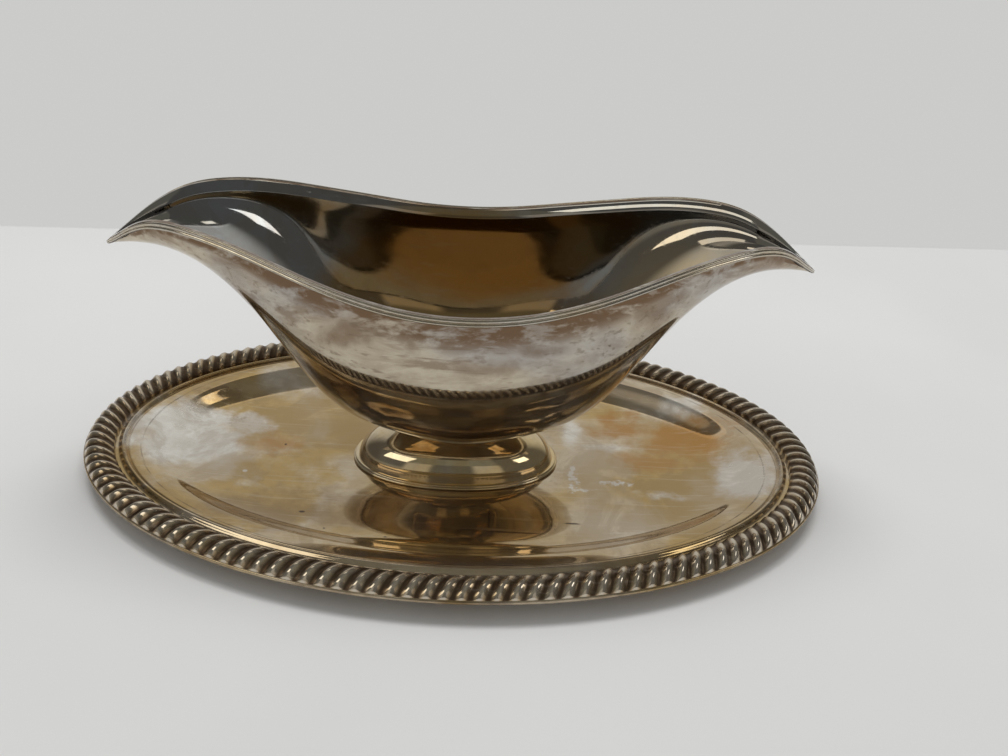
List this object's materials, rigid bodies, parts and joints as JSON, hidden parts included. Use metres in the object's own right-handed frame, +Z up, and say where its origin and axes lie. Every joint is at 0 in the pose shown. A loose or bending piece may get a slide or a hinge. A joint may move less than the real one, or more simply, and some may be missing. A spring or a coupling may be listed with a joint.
{
  "type": "sauce boat with attached tray",
  "caption": "Double-lipped silver-plated sauce boat on a low oval foot, fixed to its own oval tray with a slanted gadroon border.",
  "frame": {"origin": "centre of the tray at the height of the table it rests on", "axes": "+X from the left lip to the right lip, +Y away from the side seen in the picture, +Z up"},
  "size_m": [0.24, 0.1548, 0.0868],
  "materials": {
    "tray_silver": "polished silver plate with brown and golden tarnish and hazy pale patches",
    "gadroon_silver": "worn silver plate, dark oxide in the valleys",
    "foot_silver": "polished silver plate with golden tarnish",
    "bowl_silver": "polished silver plate with streaky tarnish",
    "rim_silver": "polished silver plate, dark line in the groove",
    "plain_metal": "plain nickel alloy, unpolished"
  },
  "bodies": {
    "root": {"tray": "tray_silver", "gadroon_front": "gadroon_silver", "gadroon_right": "gadroon_silver", "gadroon_back": "gadroon_silver", "gadroon_left": "gadroon_silver", "foot": "foot_silver", "bowl": "bowl_silver", "rim_wire": "rim_silver", "fixing_stud": "plain_metal", "washer": "plain_metal", "nut": "plain_metal"}
  },
  "joints": []
}
